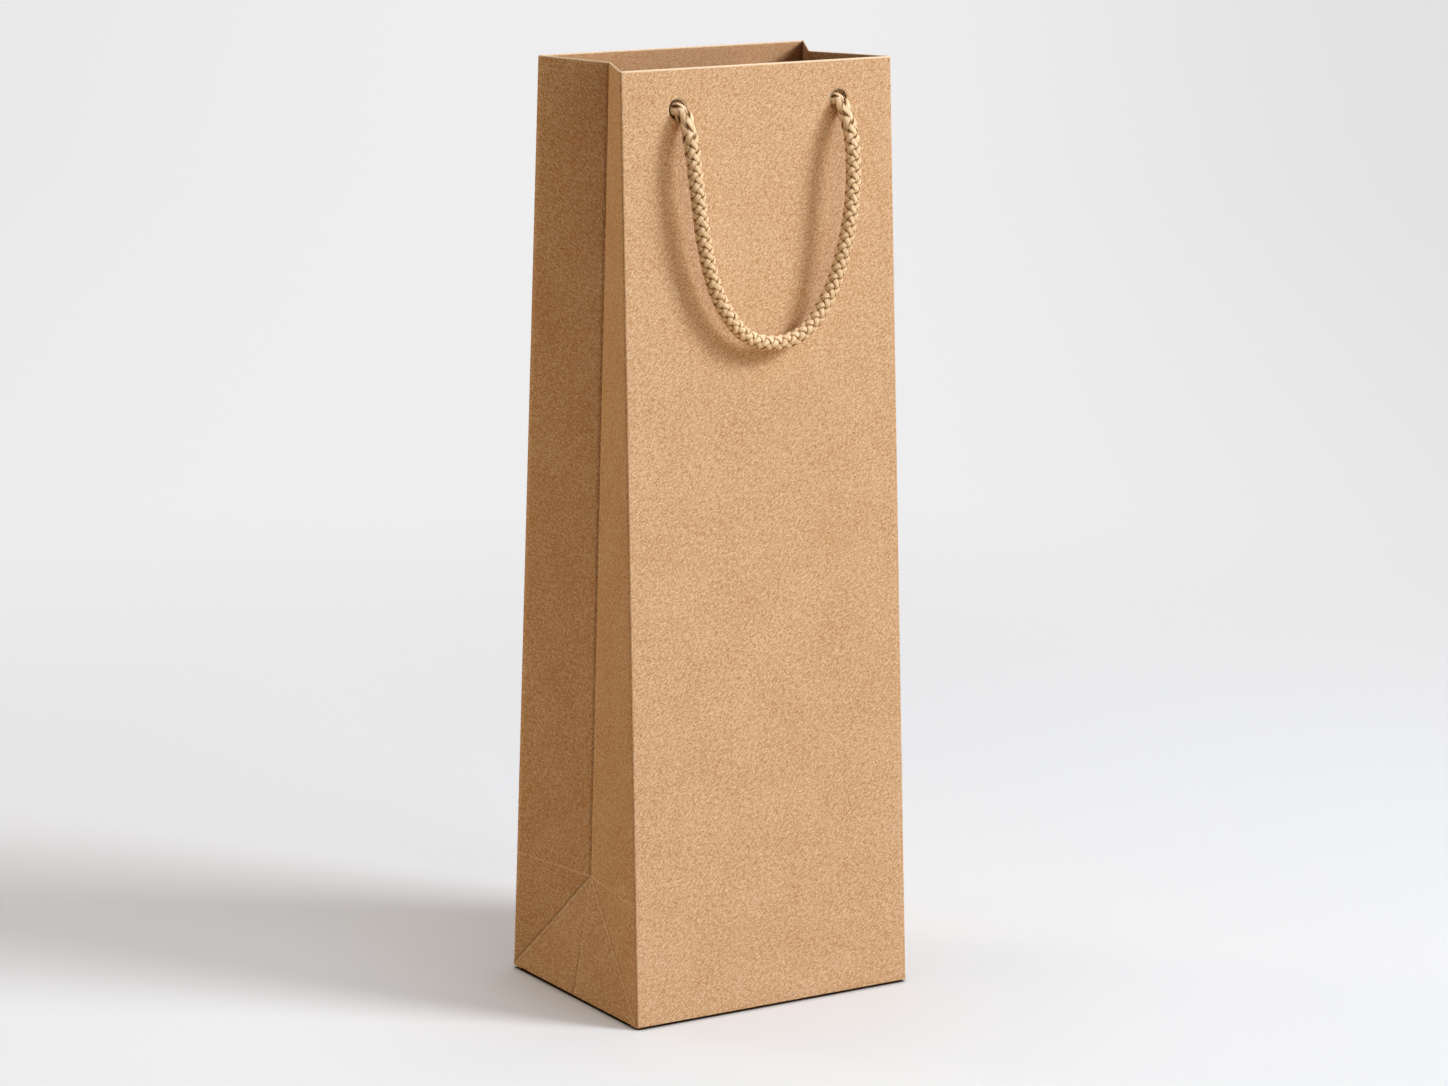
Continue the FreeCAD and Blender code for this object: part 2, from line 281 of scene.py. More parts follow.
def kraft_paper(name, colours, middle, contrast, flat_name=None, fold_lines=None):
    """Unbleached paper: slanting pale and dark fibres, sparse flecks, and worn fold lines, with the
    painted shade and highlight that its fold lines add.
    """
    finish = Finish(name)
    flat = finish.attribute(flat_name) if flat_name else finish.place()
    clouds = finish.noise(flat, 45.0, 3.0)
    swirl = finish.noise(flat, 720.0, 1.0, 2.0)
    fibres = finish.noise(flat, 2000.0, 0.0, 1.0)
    slanting = finish.drawn_out(flat, (3.0, 1.0, 1.0), STROKE_SLANT)
    strokes = finish.noise(slanting, 1700.0, 0.0, 0.6)
    grit = finish.noise(flat, 2600.0, 2.0)
    cells = finish.node("ShaderNodeTexVoronoi", inputs={"Vector": flat, "Scale": 220.0})
    picked = Tone(finish, cells.socket.node.outputs["Color"])
    flecks = cells.step(0.16, 0.08) * finish.parts(picked)[0].step(0.90, 0.93)
    fine = swirl.swing(0.55) + fibres.swing(1.6) + strokes.swing(0.85)
    tone = middle + (fine + grit.swing(0.3) + clouds.swing(0.3)) * contrast
    colour = finish.mix(colours.kraft_dark, colours.kraft_light, tone)
    colour = finish.mix(colour, colours.fleck_and_painted_shade, flecks * 0.3)
    height = swirl + fibres + strokes
    if fold_lines:
        # inner is painted shade on the inner faces; shade is painted shade on the hole walls and
        # beside the diagonal creases; worn is wear, with a painted highlight in the band under the
        # mouth.
        worn, shade, inner, ridge = fold_lines(finish)
        colour = finish.mix(colour, colours.kraft_dark, inner)
        colour = finish.mix(colour, colours.fleck_and_painted_shade, shade)
        colour = finish.mix(colour, colours.worn, worn)
        height = height + ridge
    return finish.surface(colour, 0.86 + grit.swing(0.2), finish.bump(height, PAPER_RELIEF))


def cut_paper(name, colours):
    """The cut edge of the paper: paler, with fine torn fibres."""
    finish = Finish(name)
    place = finish.place()
    fibres = finish.noise(place, 3200.0, 3.0)
    colour = finish.mix(colours.kraft, colours.kraft_light, 0.35 + fibres.swing(0.8))
    return finish.surface(colour, 0.95, finish.bump(fibres, EDGE_RELIEF))


def grey_board(name, colour, colours):
    """Recycled card: short mixed fibres and faint rolling marks."""
    finish = Finish(name)
    place = finish.place()
    marks = finish.noise(finish.drawn_out(place, (1.0, 8.0, 1.0)), 420.0, 2.0)
    fibres = finish.noise(place, 1500.0, 3.0, 0.8)
    specks = finish.noise(place, 700.0, 1.0).step(0.68, 0.74)
    shade = finish.mix(colour, colours.kraft_light, fibres.swing(0.7) + marks.swing(0.4))
    shade = finish.mix(shade, colours.kraft_dark, specks * 0.5)
    normal = finish.bump(fibres + marks, BOARD_RELIEF)
    return finish.surface(shade, 0.9 + fibres.swing(0.15), normal)


def braided_cotton(name, colours):
    """Twisted yarn: fine fibres along each strand, a painted highlight on its crown and painted
    shade at its sides and in the grooves between its yarns, with random dark patches.
    """
    finish = Finish(name)
    along, around, which = finish.parts(finish.attribute("strand"))
    twisted = {0: along * 60.0, 1: around * 9.0 + along * 900.0, 2: which * 7.0}
    yarn = finish.noise(finish.node("ShaderNodeCombineXYZ", inputs=twisted), 1.0, 3.0, 0.4)
    place = finish.place()
    fuzz = finish.noise(place, 2400.0, 2.0)
    patches = finish.noise(place, 160.0, 2.0)
    crown = finish.math("SINE", around * math.pi)
    # Painted highlight on each strand's crown, with pale yarns at random.
    pale = crown.step(0.84, 1.0) * 0.92 + yarn.swing(2.0)
    # Painted shade in the grooves between the yarns, with random dark patches.
    groove_shade_and_patches = (0.45 - yarn) * 1.6 + patches.swing(0.4) + fuzz.swing(0.3)
    # Painted shade at each strand's sides.
    colour = finish.mix(colours.rope_dark, colours.rope, crown.step(0.74, 0.97))
    colour = finish.mix(colour, colours.rope_light, pale)
    colour = finish.mix(colour, colours.rope_dark, groove_shade_and_patches)
    normal = finish.bump(yarn + fuzz * 0.4, YARN_RELIEF)
    return finish.surface(colour, 0.85 + fuzz.swing(0.2), normal, 0.15)


def studio_white(name, colours):
    """Floor and backdrop: pale and even to the camera, quieter in the light they throw back."""
    finish = Finish(name)
    rays = finish.node("ShaderNodeLightPath").socket.node.outputs
    seen = Tone(finish, rays["Is Camera Ray"])
    for kind in ("Is Glossy Ray", "Is Transmission Ray"):
        seen = seen.math("MAXIMUM", Tone(finish, rays[kind]))
    place = finish.place()
    x, y = finish.parts(place)[:2]
    right = x * PICTURE_RIGHT[0] + y * PICTURE_RIGHT[1]
    left = 0.0 - right
    distance = finish.node("ShaderNodeVectorMath", {"operation": "LENGTH"}, {0: place}, "Value")
    far = distance.step(0.28, 0.98)
    grain = finish.noise(place, 900.0, 2.0)
    # Painted contact shadow: the floor takes the fleck colour where the bag closes over it.
    clear = finish.node("ShaderNodeAmbientOcclusion", {"samples": 6}, {"Distance": 0.006}, "AO")
    # Painted light: the floor is paler to the left of the bag, where its shadow falls.
    floor = finish.mix(colours.studio, colours.studio_left, left.step(-0.02, 0.22))
    colour = finish.mix(colours.studio_bounce, floor, seen)
    colour = finish.mix(colours.fleck_and_painted_shade, colour, clear.step(0.2, 0.75))
    finish.surface(colour, 0.9 + grain.swing(0.1), finish.bump(grain, FLOOR_RELIEF), 0.1)
    # Far from the bag the camera sees a glow instead of the lit floor: painted light, darker
    # towards the sides as a painted falloff.
    sides = right.step(0.05, 0.75) + left.step(0.15, 1.1) * 0.75
    tone = finish.mix(colours.backdrop, colours.backdrop_edge, sides)
    glow = finish.node("ShaderNodeEmission", inputs={"Color": tone})
    lit = Tone(finish, finish.shader.outputs[0])
    whole = finish.node("ShaderNodeMixShader", inputs={0: far * seen, 1: lit, 2: glow})
    finish.tree.links.new(whole.socket, finish.tree.nodes["Material Output"].inputs["Surface"])
    return finish.material


def panel_lines(finish):
    """Wear on a wide panel's holes and scores; at its mouth a pale band, partly wear and partly
    painted highlight; painted shade on its hole walls and its inner face.
    """
    across, _, rim = finish.parts(finish.attribute("folds"))
    score = (abs(across) - SCORE_ACROSS).line(0.00035)
    # The band under the mouth is partly wear and partly painted highlight.
    worn = rim.step(0.0, 1.0) * 0.65 + score * 0.12
    # Painted shade: the inner face is darker.
    inner = rim.step(-0.1, -1.0) * 0.5
    # The second value returned is painted shade: the hole walls turned dark.
    return worn, rim.step(-1.1, -1.9), inner, score * -1.2


def gusset_lines(finish, fold):
    """Wear along the creases of a side: level, the two diagonals and the triangle's middle; painted
    shade beside each diagonal and on the inner face; at the mouth a pale band, partly wear and
    partly painted highlight.
    """
    folds = finish.attribute("folds")
    across, height, rim = finish.parts(folds)
    below = height.step(fold + 0.0004, fold - 0.0004)
    grain = finish.noise(folds, 500.0, 2.0).step(0.25, 0.6)
    beside = across + height - fold
    diagonal = beside.line(0.0006) * below
    # Painted shade: a dark strip on the foot side of each diagonal crease.
    tucked = (beside - 0.0014).line(0.0013) * below
    level = (height - fold).line(0.0005)
    middle = across.line(0.0005) * below
    creases = (diagonal * 0.9 + level * 0.5 + middle * 0.4) * grain
    # The band under the mouth is partly wear and partly painted highlight.
    worn = creases + rim.step(0.0, 1.0) * 0.9
    # Painted shade: the inner face is darker.
    inner = rim.step(-0.1, -1.0) * 0.5
    return worn, tucked * 0.28, inner, diagonal * 2.5 + level + middle * 0.5


# Meshes


def put(name, data):
    """An object at the origin, in the scene."""
    made = bpy.data.objects.new(name, data)
    bpy.context.scene.collection.objects.link(made)
    return made


def new_object(name, bm, materials):
    """An object from a finished bmesh, smooth apart from its sharp edges."""
    for face in bm.faces:
        face.smooth = True
    mesh = bpy.data.meshes.new(name)
    bm.to_mesh(mesh)
    bm.free()
    for material in materials:
        mesh.materials.append(material)
    return put(name, mesh)


def new_piece(name, bm, materials):
    """A piece of the bag, with its materials."""
    piece = new_object(name, bm, materials)
    return piece


def paper_piece(name, bm, papers, thickness):
    """A sheet of the bag's paper, thickened away from its outer face."""
    piece = new_piece(name, bm, papers)
    modifier = piece.modifiers.new("paper", "SOLIDIFY")
    modifier.thickness = thickness
    modifier.offset = -1.0
    modifier.material_offset_rim = 1
    return piece


def grid(bm, columns, rows, place, holes=()):
    """Cells in columns and rows, less those in holes, each corner put where place says."""
    made = bmesh.ops.create_grid(bm, x_segments=columns, y_segments=rows, size=1.0)["verts"]
    index = {v: (round((v.co.x + 1) / 2 * columns), round((v.co.y + 1) / 2 * rows)) for v in made}
    faces = list(dict.fromkeys(face for vertex in made for face in vertex.link_faces))
    cells = {face: tuple(min(index[v][i] for v in face.verts) for i in (0, 1)) for face in faces}
    for vertex, (column, row) in index.items():
        vertex.co = place(column, row, vertex)
    bmesh.ops.delete(bm, geom=[face for face in faces if cells[face] in holes], context="FACES")


def face_outwards(bm, outwards):
    """Turn an open sheet so that most of it faces the given way."""
    bmesh.ops.recalc_face_normals(bm, faces=bm.faces)
    if sum(face.normal.dot(outwards) * face.calc_area() for face in bm.faces) < 0:
        bmesh.ops.reverse_faces(bm, faces=bm.faces)


def spread(start, end, count):
    """count values after start, evenly spaced, the last of them end."""
    return [start + (end - start) * (i + 1) / count for i in range(count)]


# Angles round a folded edge
QUARTER = spread(0.0, math.pi / 2, 5)


def fade(value, low, high):
    """0 below low, 1 above high, smooth between."""
    share = min(1.0, max(0.0, (value - low) / (high - low)))
    return share * share * (3 - 2 * share)


# Height over which the upright sheets settle on the bottom's raised edges
FOOT_EASE = 0.03


class Form:
    """Where the folded sheet lies, worked out from the sizes."""

    def __init__(self, sizes):
        self.sizes = sizes
        self.half_width = sizes.width / 2
        self.run = (sizes.base_depth - sizes.mouth_depth) / 2
        self.wall_length = math.hypot(self.run, sizes.height)
        self.hole_up = self.wall_length - sizes.hole_drop
        self.fold_height = sizes.base_depth / 2

    def half_depth(self, height):
        return self.sizes.base_depth / 2 - self.run * height / self.sizes.height

    def crease_inset(self, side, height):
        mouth = self.sizes.left_inset if side == LEFT else self.sizes.right_inset
        rise = (height - self.fold_height) / (self.sizes.height - self.fold_height)
        return self.sizes.foot_inset + (mouth - self.sizes.foot_inset) * rise

    def wall(self, end):
        """From an upright wall with its outer face on y = 0 to its leaning place."""
        crease = Vector((0.0, self.sizes.paper / 2, self.sizes.paper / 2))
        lean = Matrix.Rotation(-math.atan2(self.run, self.sizes.height), 4, "X")
        front = Matrix.Translation((0.0, -self.sizes.base_depth / 2, 0.0))
        front = front @ Matrix.Translation(crease) @ lean @ Matrix.Translation(-crease)
        return front if end == FRONT else Matrix.Rotation(math.pi, 4, "Z") @ front

    def lift(self, y):
        """The bottom's edges stand a little off the floor, more at the rear."""
        back = min(1.0, max(0.0, y / self.sizes.base_depth + 0.5))
        return self.sizes.front_lift + (self.sizes.rear_lift - self.sizes.front_lift) * back

    def bottom_rise(self, x, y, start):
        """How far a layer of the bottom is off the floor, rising outwards from start, 0 to 1."""
        out = max(abs(x) / self.half_width, abs(y) / (self.sizes.base_depth / 2))
        return self.lift(y) * fade(out, start, 1.0)

    def spread_foot(self, point):
        """A point, moved as the bag spreads towards its foot and narrows towards its mouth."""
        share = point.z / self.sizes.height
        spread_out = self.sizes.foot_spread * (1 - share) - self.sizes.mouth_draw * share
        point.x *= 1 + spread_out / self.half_width
        return point

    def settled(self, point):
        """A point of an upright sheet: spread, and raised at the foot and the mouth's rear."""
        self.spread_foot(point)
        rear = min(1.0, max(0.0, point.y / self.half_depth(point.z)))
        rise = self.sizes.rear_rise * rear * point.z / self.sizes.height
        point.z += self.lift(point.y) * (1 - fade(point.z, 0.0, FOOT_EASE)) + rise
        return point

    def lip(self):
        """Stations of a bottom fold, from under the bag to upright: (inset, height)."""
        reach, radius = self.sizes.bottom_lip, self.sizes.bottom_radius
        bend = [(radius - radius * math.sin(t), radius - radius * math.cos(t)) for t in QUARTER]
        return [(reach, 0.0), (reach / 2, 0.0), (radius, 0.0)] + bend


def settings(context):
    """The sizes and colours of the bag, and the form that follows from the sizes."""
    sizes = context.scene.bag_sizes
    return sizes, context.scene.bag_colours, Form(sizes)


# Wide sheets

# Square block of cells round a hole: half its side, cells along it, and those kept at an edge
HOLE_BLOCK, HOLE_CELLS, HOLE_KEEP = 0.006, 12, 2
# Half the side of the square that is cut out of the block
HOLE_CUT = HOLE_BLOCK * (1 - 2 * HOLE_KEEP / HOLE_CELLS)
# Width of a hole's pressed ring
HOLE_RIM = 0.0009
# Turns of that ring: depth, narrowing, pale wear where positive and painted shade, a dark hole
# wall, where negative
HOLE_TURNS = (
    (0.00004, 0.97, 0.2), (0.00010, 0.95, 0.6), (0.00014, 0.94, -2.0), (0.00027, 0.81, -2.0))
# Height of the pale band under an edge of the mouth, partly wear and partly painted highlight, and
# the back edge's share of it
RIM, BACK_RIM_SHARE = 0.0003, 0.6
# Height of the waves in a wide panel, and the bands in which they fade:
# beside the seam, at the upright edges, at the foot, and between two depths below the holes
PANEL_WAVE = 0.0006
SEAM_BAND, EDGE_BAND, FOOT_BAND, HOLE_BAND = 0.02, 0.03, 0.02, (0.026, 0.07)
# From here outwards a hem draws in to its margin
HEM_EASE = 0.05


def hem_bend(roll, start, steps):
    """Stations over a hem, from its outer face to its inner: (depth, up)."""
    return [(roll - roll * math.cos(t), start + roll * math.sin(t))
            for t in spread(0.0, math.pi, steps)]


def sheet_rows(form):
    """Stations up a wide sheet, over the hem and down inside: (depth, up)."""
    sizes = form.sizes
    roll = sizes.hem_thickness / 2
    start = form.wall_length - roll
    low, high = form.hole_up - HOLE_BLOCK, form.hole_up + HOLE_BLOCK
    outer = spread(sizes.bottom_radius, low, 150)
    outer += spread(low, high, HOLE_CELLS) + spread(high, start - RIM, 5) + [start]
    inner = spread(start, high, 5) + spread(high, low, HOLE_CELLS)
    inner += spread(low, form.wall_length - sizes.hem_depth, 9)
    outer_rows = form.lip() + [(0.0, up) for up in outer]
    return outer_rows + hem_bend(roll, start, 10) + [(sizes.hem_thickness, up) for up in inner]


def sheet_columns(form, seamed):
    """Places across a wide sheet, with rounded upright folds: (across, depth behind the face)."""
    sizes = form.sizes
    radius, edge, hole = sizes.corner_radius, form.half_width, sizes.hole_spacing / 2
    bend = [(edge - radius + radius * math.sin(t), radius - radius * math.cos(t)) for t in QUARTER]
    left = [(-x, depth) for x, depth in reversed(bend)]
    if seamed:
        left = [(sizes.paper / 2 - edge, 0.0)]
    stops = (radius - edge, -hole - HOLE_BLOCK, HOLE_BLOCK - hole,
             hole - HOLE_BLOCK, hole + HOLE_BLOCK, edge - radius)
    flats = [radius - edge]
    for low, high, cells in zip(stops, stops[1:], (10, HOLE_CELLS, 30, HOLE_CELLS, 10)):
        flats += spread(low, high, cells)
    return left + [(x, 0.0) for x in flats] + bend


def punched_cells(columns, rows, form):
    """The cells inside the rope holes of both layers."""
    hole = form.sizes.hole_spacing / 2

    def inside(values, centre):
        marks = zip(values, values[1:])
        return [i for i, pair in enumerate(marks) if abs(sum(pair) / 2 - centre) < HOLE_CUT]

    places = [x for x, depth in columns]
    across = inside(places, -hole) + inside(places, hole)
    along = inside([up for depth, up in rows], form.hole_up)
    return {(column, row) for column in across for row in along}


def round_off(offset, hole):
    """Draw the cells that border a hole from their square outline to the round one."""
    reach = max(abs(offset.x), abs(offset.y))
    share = min(1.0, max(0.0, (HOLE_BLOCK - reach) / (HOLE_BLOCK - HOLE_CUT)))
    return offset.lerp(offset.normalized() * hole / 2, share) if offset.length else offset


def wide_sheet(form, end):
    """A wide panel with its bottom fold and its hem: one sheet, punched through both layers."""
    sizes = form.sizes
    seamed = end == FRONT
    roll = sizes.hem_thickness / 2
    mouth = form.wall_length - roll
    rows, columns = sheet_rows(form), sheet_columns(form, seamed)
    runs = [0.0]
    for before, after in zip(rows, rows[1:]):
        runs.append(runs[-1] + math.dist(before, after))
    wall = form.wall(end)
    bm = bmesh.new()
    flat = bm.verts.layers.float_vector.new("flat")
    folds = bm.verts.layers.float_vector.new("folds")

    def place(column, row, vertex):
        (x, corner), (depth, up) = columns[column], rows[row]
        inside = fade(depth, 0.0, sizes.hem_thickness) if up > form.wall_length / 2 else 0.0
        rim = fade(up, mouth - RIM, mouth) if inside < 1 else -1.0
        rim *= 1.0 if seamed or rim < 0 else BACK_RIM_SHARE
        vertex[folds] = Vector((max(x, 0.0) if seamed else x, runs[row], rim))
        margin = SEAM_BAND if seamed and x < 0 else 0.0
        wave = fade(form.half_width - abs(x), margin, margin + EDGE_BAND) * fade(up, 0.0, FOOT_BAND)
        ripple = noise.noise(Vector((x * 24.0, up * 15.0, 3.0 * end)))
        wave *= fade(form.hole_up - up, *HOLE_BAND) * ripple
        x -= math.copysign(inside * sizes.hem_margin * fade(abs(x), HEM_EASE, form.half_width), x)
        centre = math.copysign(sizes.hole_spacing / 2, x)
        offset = round_off(Vector((x - centre, up - form.hole_up)), sizes.hole + 2 * HOLE_RIM)
        drawn = (offset.y + form.hole_up - up) * (1 if depth < roll else -1)
        vertex[flat] = Vector((centre + offset.x, runs[row] + drawn, 0.4 * end))
        depth += corner * (1 - inside) + PANEL_WAVE * wave
        return form.settled(wall @ Vector((centre + offset.x, depth, form.hole_up + offset.y)))

    grid(bm, len(columns) - 1, len(rows) - 1, place, punched_cells(columns, rows, form))
    press_rims(bm, form, wall)
    face_outwards(bm, wall.to_3x3() @ Vector((0.0, -1.0, 0.0)))
    return bm


def press_rims(bm, form, wall):
    """Turn the edges of the punched holes in towards the card."""
    upright = wall.inverted()
    sizes = form.sizes
    folds = bm.verts.layers.float_vector["folds"]

    def from_hole(vertex):
        place = upright @ vertex.co
        centre = Vector((math.copysign(sizes.hole_spacing / 2, place.x), place.y, form.hole_up))
        return place, place - centre

    def at_hole(edge):
        return all(from_hole(vertex)[1].length < HOLE_BLOCK for vertex in edge.verts)

    rim = [edge for edge in bm.edges if edge.is_boundary and at_hole(edge)]
    for inwards, draw, worn in HOLE_TURNS:
        made = bmesh.ops.extrude_edge_only(bm, edges=rim)["geom"]
        for vertex in (item for item in made if isinstance(item, bmesh.types.BMVert)):
            place, offset = from_hole(vertex)
            outer = place.y < sizes.hem_thickness / 2
            moved = place - offset * (1 - draw) + Vector((0.0, inwards if outer else -inwards, 0.0))
            vertex.co = wall @ moved
            vertex[folds].z = worn
        rim = [item for item in made if isinstance(item, bmesh.types.BMEdge)]


class BAG_OT_wide_sheets(bpy.types.Operator):
    """Make the front and the back sheet, each from its bottom fold to the end of its hem"""

    bl_idname = "bag.wide_sheets"
    bl_label = "Wide sheets"

    def execute(self, context):
        sizes, colours, form = settings(context)
        papers = [kraft_paper("kraft_wide", colours, *WIDE_TONE, "flat", panel_lines),
                  cut_paper("kraft_wide_edge", colours)]
        for end, name in WALL_NAMES.items():
            sheet = paper_piece(name + "_sheet", wide_sheet(form, end), papers, sizes.paper)
            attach(sheet, WALLS[end])
            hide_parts(name + "_panel", name + "_turn_in")
        return {"FINISHED"}


# Gussets

# Height of the waves in a side half, and the bands above its fold and at its mouth where they fade
GUSSET_WAVE, SIDE_BAND = 0.0005, 0.05
# Distance within which two places count as one
TINY = 1e-6


def gusset_rows(form):
    """Stations up a side half, over its hem and down inside: (inset, height)."""
    sizes = form.sizes
    roll = sizes.gusset_hem / 2
    start = sizes.height - roll
    low = sizes.bottom_radius
    heights = [low] + spread(low, form.fold_height, 24)
    heights += spread(form.fold_height, start - RIM, 110) + [start]
    inner = spread(start, sizes.height - sizes.hem_depth, 14)
    outer_rows = [(0.0, z) for z in heights]
    return outer_rows + hem_bend(roll, start, 8) + [(sizes.gusset_hem, z) for z in inner]


def gusset_half(form, side, end, seamed):
    """Half of a side: the part above the bottom fold, its foot, half the triangle and the hem."""
    sizes = form.sizes
    fold, edge_x = form.fold_height, side * form.half_width
    mouth = sizes.height - sizes.gusset_hem / 2
    turn = sizes.seam_radius if seamed else sizes.corner_radius
    margin = turn + sizes.paper if seamed else turn
    bm = bmesh.new()
    flat = bm.verts.layers.float_vector.new("flat")
    folds = bm.verts.layers.float_vector.new("folds")
    rows = gusset_rows(form)
    shares = [0.0] + spread(0.0, 1.0, 18)
    bend = []
    if seamed:
        bend = [(turn - turn * math.cos(t), turn * math.sin(t)) for t in QUARTER]
        bend.append((bend[-1][0] + turn, bend[-1][1]))

    def start(z):
        """The centre crease, or below the fold the diagonal."""
        if z >= fold:
            return Vector((edge_x - side * form.crease_inset(side, z), 0.0, z))
        rise = z / fold
        corner = end * (form.half_depth(0.0) - margin)
        return Vector((edge_x - side * sizes.foot_inset * rise, corner * (1 - rise), z))

    def mark(vertex, across, height, place, rim):
        vertex[folds] = Vector((across, height, rim))
        vertex[flat] = Vector((place, height, 3.0 * side))

    def upper(column, row, vertex):
        inset, z = rows[row]
        share = shares[min(column, len(shares) - 1)]
        first = start(z)
        last = Vector((edge_x, end * (form.half_depth(z) - margin), z))
        point = first.lerp(last, share)
        beyond = bend[column - len(shares)] if column >= len(shares) else (0.0, 0.0)
        across = max(0.0, fold - z) + share * min(z, fold) + sum(beyond)
        rim = fade(z, mouth - RIM, mouth) if inset < sizes.gusset_hem else -1.0
        mark(vertex, across, z, end * (abs(first.y) + (point - first).length + sum(beyond)), rim)
        wave = noise.noise(Vector((point.y * 30.0, z * 14.0, 5.0 * side))) * 4 * share * (1 - share)
        point.x += (side * GUSSET_WAVE * wave * fade(z, fold, fold + SIDE_BAND)
                    * fade(sizes.height - z, 0.0, SIDE_BAND))
        point.x -= side * (inset + beyond[0])
        point.y += end * beyond[1]
        return form.settled(point)

    columns = len(shares) + len(bend)
    grid(bm, columns - 1, len(rows) - 1, upper)

    lip = form.lip()[:-1]
    levels = lip + [(0.0, z) for inset, z in rows if inset == 0.0 and z <= fold]

    def lower(column, row, vertex):
        inset, z = levels[row]
        share = shares[column]
        corner = start(max(z, sizes.bottom_radius) if row >= len(lip) else sizes.bottom_radius)
        point = Vector((corner.x - side * inset, (corner.y - end * inset) * share, z))
        mark(vertex, share * (fold - z), z, point.y, 0.0)
        return form.settled(point)

    grid(bm, len(shares) - 1, len(levels) - 1, lower)
    bmesh.ops.remove_doubles(bm, verts=bm.verts, dist=0.000004)
    for edge in bm.edges:
        ends = [v[folds] for v in edge.verts]
        diagonal = all(abs(p.x + p.y - fold) < TINY and p.y <= fold for p in ends)
        edge.smooth = not (diagonal or all(abs(p.y - fold) < TINY for p in ends))
    face_outwards(bm, Vector((side, 0.0, 0.0)))
    return bm


class BAG_OT_gussets(bpy.types.Operator):
    """Make the four halves of the folded sides, between the base and the wide walls"""

    bl_idname = "bag.gussets"
    bl_label = "Gussets"

    def execute(self, context):
        sizes, colours, form = settings(context)
        lines = partial(gusset_lines, fold=form.fold_height)
        # The sides' paper is a darker, more contrasted copy: painted shade and painted grazing
        # light.
        papers = [kraft_paper("kraft_side", colours, *SHADED_SIDE_TONE, "flat", lines),
                  cut_paper("kraft_side_edge", colours)]
        for side_name, side in SIDES.items():
            for end_name, end in ENDS.items():
                seamed = side == LEFT and end == FRONT
                name = f"{side_name}_gusset_{end_name}"
                bm = gusset_half(form, side, end, seamed)
                half = paper_piece(name + "_sheet", bm, papers, sizes.paper)
                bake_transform(half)
                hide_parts(name, name + "_turn_in", name + "_foot")
                if end == FRONT:
                    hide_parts(side_name + "_base_triangle")
        return {"FINISHED"}


# Bottom, card and seam

# The flaps of the bottom in the order in which they are folded, with their layers from the floor up
FLAPS = (("bottom_front_flap", 0), ("bottom_rear_flap", 1),
         ("bottom_left_flap", 2), ("bottom_right_flap", 2))
FLAP_CELLS = 24
BOARD_LAYER = 3
# Rounding of the board's edges, and half the width over which it is cut to bow
BOARD_EASE, BOARD_CUTS = 0.0002, 0.055


